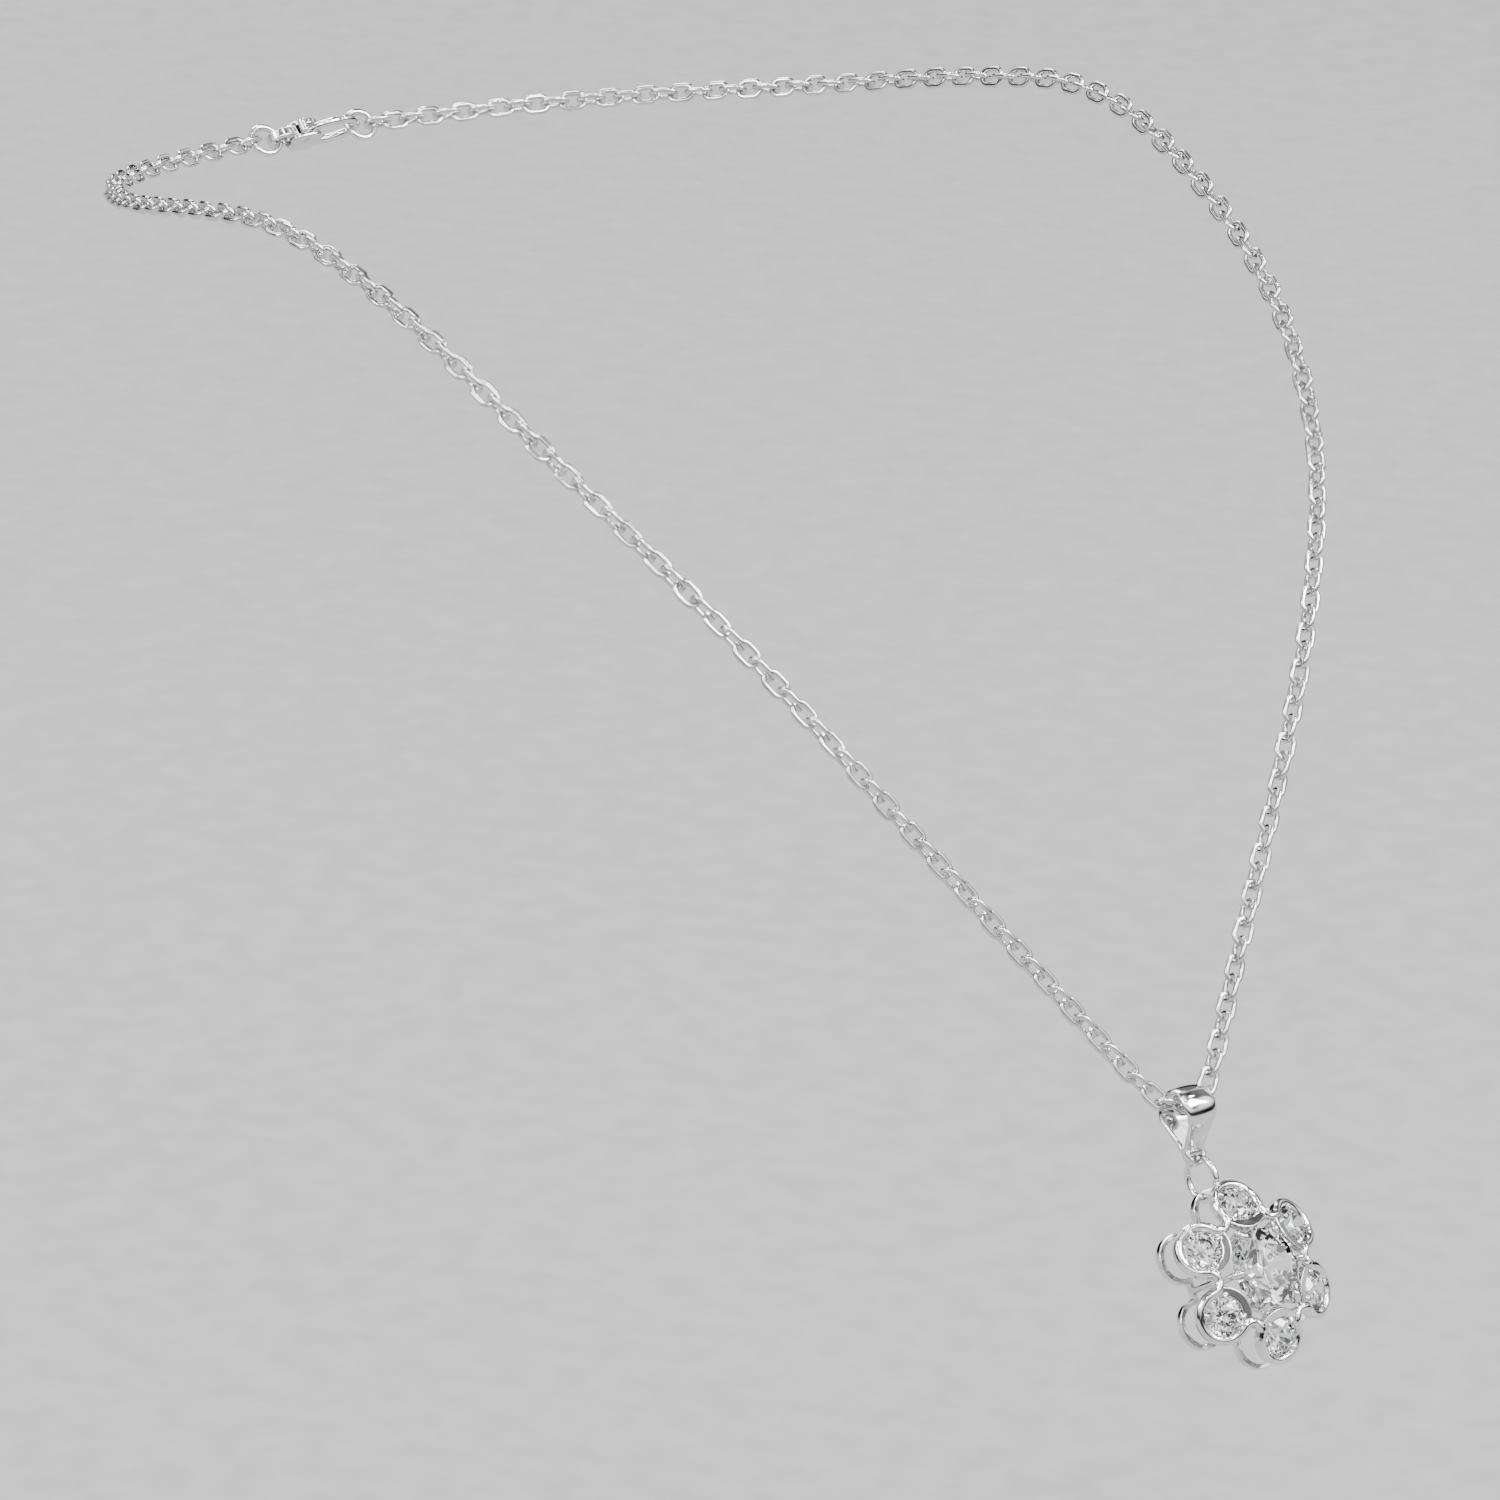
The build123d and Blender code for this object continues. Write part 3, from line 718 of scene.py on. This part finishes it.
def add_petal_rim(bm):
    points = [on_dome(p) for p in petal_line(RIM_BEAD)]
    tube(bm, points, [RIM_BEAD] * len(points), closed=True)


def add_bead_claws(bm):
    """Four small claws over the girdle of each petal stone."""
    line = [(PETAL_STONE_RADIUS + out, 0, up) for out, up in BEAD_CLAW_LINE]
    radii = [BEAD_CLAW] * 3 + [BEAD_CLAW * BEAD_CLAW_TAPER]
    for k in range(PETALS):
        for quarter in range(4):
            aim = petal_place(k) @ Matrix.Rotation(pi / 4 + quarter * pi / 2, 4, "Z")
            tube(bm, [aim @ Vector(p) for p in line], radii, sides=10)


def add_flower_trim(bm):
    add_petal_rim(bm)
    add_bead_claws(bm)


def add_claw_tips(bm):
    """A rounded bead at the tip of each big claw."""
    girdle = Vector((CENTRE_STONE_RADIUS, 0, CENTRE_GIRDLE_HEIGHT))
    line = [girdle + Vector((out, 0, up)) for out, up in CLAW_TIP_LINE]
    for k in range(PETALS):
        aim = Matrix.Rotation(k * pi / 3, 4, "Z")
        tube(bm, [aim @ p for p in line], [CLAW_TIP, CLAW_TIP * CLAW_TIP_TAPER], sides=14)


def brilliant(bm, radius, matrix):
    """A round brilliant with all its facets, its girdle centred on the origin and its table up."""
    girdle = GIRDLE_SHARE * radius / 2
    top = girdle + CROWN_SHARE * radius
    bottom = -girdle - PAVILION_SHARE * radius
    table = TABLE_SHARE * radius
    star = STAR_SHARE * radius
    low = LOW_SHARE * radius
    step = pi / 8

    def at(r, k, z):
        return bm.verts.new(matrix @ Vector((r * cos(k * step), r * sin(k * step), z)))

    star_height = top - (top - girdle) * (star * cos(step) - table) / (radius - table)
    low_height = bottom + (-girdle - bottom) * low * cos(step) / radius
    table_ring = [at(table, 2 * k, top) for k in range(8)]
    star_ring = [at(star, 2 * k + 1, star_height) for k in range(8)]
    upper = [at(radius, k, girdle) for k in range(16)]
    lower = [at(radius, k, -girdle) for k in range(16)]
    low_ring = [at(low, 2 * k + 1, low_height) for k in range(8)]
    culet = at(0, 0, bottom)
    bm.faces.new(table_ring)
    for k in range(8):
        here, after = 2 * k, (2 * k + 2) % 16
        odd = 2 * k + 1
        bm.faces.new((table_ring[k], star_ring[k], table_ring[(k + 1) % 8]))
        bm.faces.new((table_ring[k], star_ring[k - 1], upper[here], star_ring[k]))
        bm.faces.new((star_ring[k], upper[here], upper[odd]))
        bm.faces.new((star_ring[k], upper[odd], upper[after]))
        bm.faces.new((upper[here], lower[here], lower[odd], upper[odd]))
        bm.faces.new((upper[odd], lower[odd], lower[after], upper[after]))
        bm.faces.new((lower[here], low_ring[k], lower[odd]))
        bm.faces.new((lower[odd], low_ring[k], lower[after]))
        bm.faces.new((lower[here], low_ring[k - 1], culet, low_ring[k]))


def make_stone(name, node, radius, matrix):
    bm = bmesh.new()
    brilliant(bm, radius, Matrix.Identity(4))
    finished(name, bm, matrix, "flower", crystal, [node], smooth=False)


def make_flower():
    place = pendant_place(FLOWER_BELOW_RING, FLOWER_BEFORE_RING)
    cast("flower_setting", "flower_frame", "flower", VOXEL, 4, place, add_flower_trim)
    cast("gallery_rail_wire", "gallery_rail", "flower", VOXEL, 4)
    cast("gallery_spoke_bars", "gallery_spokes", "flower", VOXEL, 3)
    cast("gallery_post_wires", "gallery_posts", "flower", VOXEL, 3)
    cast("head_collet", "head_ring", "flower", VOXEL, 4)
    cast("head_claws", "head_prongs", "flower", FINE_VOXEL, 4, place, add_claw_tips)
    lift = Matrix.Translation((0, 0, CENTRE_GIRDLE_HEIGHT))
    make_stone("centre_brilliant", "centre_stone", CENTRE_STONE_RADIUS, place @ lift)
    seated = Matrix.Translation((0, 0, GIRDLE_SHARE * PETAL_STONE_RADIUS / 2))
    for k in range(PETALS):
        petal = place @ petal_place(k) @ seated
        make_stone(f"petal_brilliant_{k + 1}", f"petal_stone_{k + 1}", PETAL_STONE_RADIUS, petal)


# ---- clasp ----
def add_gate_tip(bm):
    """Fills out the end of the gate, up to the tip of the claw."""
    tube(bm, GATE_TIP_LINE, [GATE_TIP, GATE_TIP], sides=14)


def add_rivet(bm):
    """The pin with a low domed head at each end."""
    half = PIN_LENGTH / 2
    head = [(r, half + rise) for r, rise in RIVET_HEAD]
    spun(bm, [(r, -z) for r, z in head] + head[::-1], segments=32)


def make_clasp():
    back = placed(joint_place["clasp_roll"], joint_axis["clasp_roll"], joint_axis["lever_swing"])
    for node, seam in CLASP_RING_SEAMS.items():
        low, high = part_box(node)
        middle = (low.x + high.x) / 2 / MM
        upright = back @ Matrix.Translation((middle, 0, 0)) @ Matrix.Rotation(pi / 2, 4, "X")
        radius = JUMP_INSIDE_RADIUS + JUMP_WIRE / 2
        make_ring(f"{node}_wire", node, node, upright, radius, JUMP_WIRE, seam)
    cast("clasp_casting", "clasp_body", "clasp", FINE_VOXEL, 5)
    cast("lever_casting", "clasp_lever", "lever", FINE_VOXEL, 3, back, add_gate_tip)
    bm = bmesh.new()
    add_rivet(bm)
    pivot = placed(joint_place["lever_swing"], joint_axis["clasp_roll"], joint_axis["lever_swing"])
    finished("clasp_rivet", bm, pivot, "clasp", bright_silver, ["clasp_pin"])
    spring = frame["nodes"]["clasp_spring"]
    spring.data.materials.clear()
    spring.data.materials.append(spring_steel)


# ---- floor, light and sky ----
def make_floor():
    bm = bmesh.new()
    bmesh.ops.create_grid(bm, x_segments=1, y_segments=1, size=FLOOR_REACH)
    mesh = bpy.data.meshes.new("floor")
    bm.to_mesh(mesh)
    bm.free()
    floor = bpy.data.objects.new("floor", mesh)
    floor.location.z = cad_box[0].z - FLOOR_BELOW
    bpy.context.scene.collection.objects.link(floor)
    material, tree, shader = new_material("PaleFloor")
    tone = toned(tree, noise(tree, FLOOR_MOTTLE), *FLOOR_TONES)
    tree.links.new(tone, shader.inputs["Base Color"])
    shader.inputs["Roughness"].default_value = FLOOR_ROUGHNESS
    floor.data.materials.append(material)


def add_softbox(name, azimuth, elevation, distance, size, power):
    """A square light that faces the necklace; azimuth 0 is in front of it, and 90 on its +X side."""
    a, e = radians(azimuth), radians(elevation)
    away = Vector((sin(a) * cos(e), -cos(a) * cos(e), sin(e)))
    light = bpy.data.objects.new(name, bpy.data.lights.new(name, "AREA"))
    light.data.energy = power
    light.data.size = size
    light.location = VIEW_AIM + away * distance
    light.rotation_mode = "QUATERNION"
    light.rotation_quaternion = away.to_track_quat("Z", "Y")
    bpy.context.scene.collection.objects.link(light)


def make_light():
    for name, setting in SOFTBOXES.items():
        add_softbox(name, *setting)
    for i in range(SPARKS):
        azimuth = SPARK_STEP * i + SPARK_FIRST
        elevation = SPARK_LOWEST + SPARK_RISE * (i * 2 % 5)
        add_softbox(f"Spark{i + 1}", azimuth, elevation, *SPARK_SETTING)


def blended(tree, factor, a, b, way="MIX"):
    """The colour of a Mix node; each of factor, a and b is a socket to link or a value to set."""
    mix = tree.nodes.new("ShaderNodeMix")
    mix.data_type = "RGBA"
    mix.blend_type = way
    sockets = (mix.inputs[0], mix.inputs[6], mix.inputs[7])
    for socket, value in zip(sockets, (factor, a, b)):
        if isinstance(value, bpy.types.NodeSocket):
            tree.links.new(value, socket)
        else:
            socket.default_value = value
    return mix.outputs[2]


def make_sky():
    """Plain to the camera; to the metal, a dark room with a belt of bright panels and a glow above."""
    world = bpy.data.worlds.new("Sky")
    bpy.context.scene.world = world
    world.use_nodes = True
    tree = world.node_tree
    back = tree.nodes["Background"]
    place = tree.nodes.new("ShaderNodeTexCoord")
    split = tree.nodes.new("ShaderNodeSeparateXYZ")
    tree.links.new(place.outputs["Generated"], split.inputs["Vector"])
    height = tree.nodes.new("ShaderNodeMapRange")
    height.inputs["From Min"].default_value = -1
    tree.links.new(split.outputs["Z"], height.inputs["Value"])
    ramp = tree.nodes.new("ShaderNodeValToRGB")
    while len(ramp.color_ramp.elements) < len(SKY_TONES):
        ramp.color_ramp.elements.new(0.5)
    for element, (position, tone) in zip(ramp.color_ramp.elements, SKY_TONES):
        element.position = position
        element.color = (tone, tone, tone, 1)
    tree.links.new(height.outputs["Result"], ramp.inputs["Fac"])
    panels = tree.nodes.new("ShaderNodeTexNoise")
    panels.inputs["Scale"].default_value = PANEL_SCALE
    panels.inputs["Detail"].default_value = 0
    tree.links.new(place.outputs["Generated"], panels.inputs["Vector"])
    gaps = tree.nodes.new("ShaderNodeMapRange")
    gaps.inputs["From Min"].default_value = PANEL_EDGE[0]
    gaps.inputs["From Max"].default_value = PANEL_EDGE[1]
    gaps.inputs["To Min"].default_value = PANEL_DARK
    tree.links.new(panels.outputs["Fac"], gaps.inputs["Value"])
    room = blended(tree, 1.0, ramp.outputs["Color"], gaps.outputs["Result"], "MULTIPLY")
    sight = tree.nodes.new("ShaderNodeLightPath")
    seen = blended(tree, sight.outputs["Is Camera Ray"], room, (*SKY_PLAIN, 1))
    tree.links.new(seen, back.inputs["Color"])
    back.inputs["Strength"].default_value = SKY_STRENGTH


make_camera()
make_chain()
make_bail()
make_pendant_ring()
make_flower()
make_clasp()
make_floor()
make_light()
make_sky()
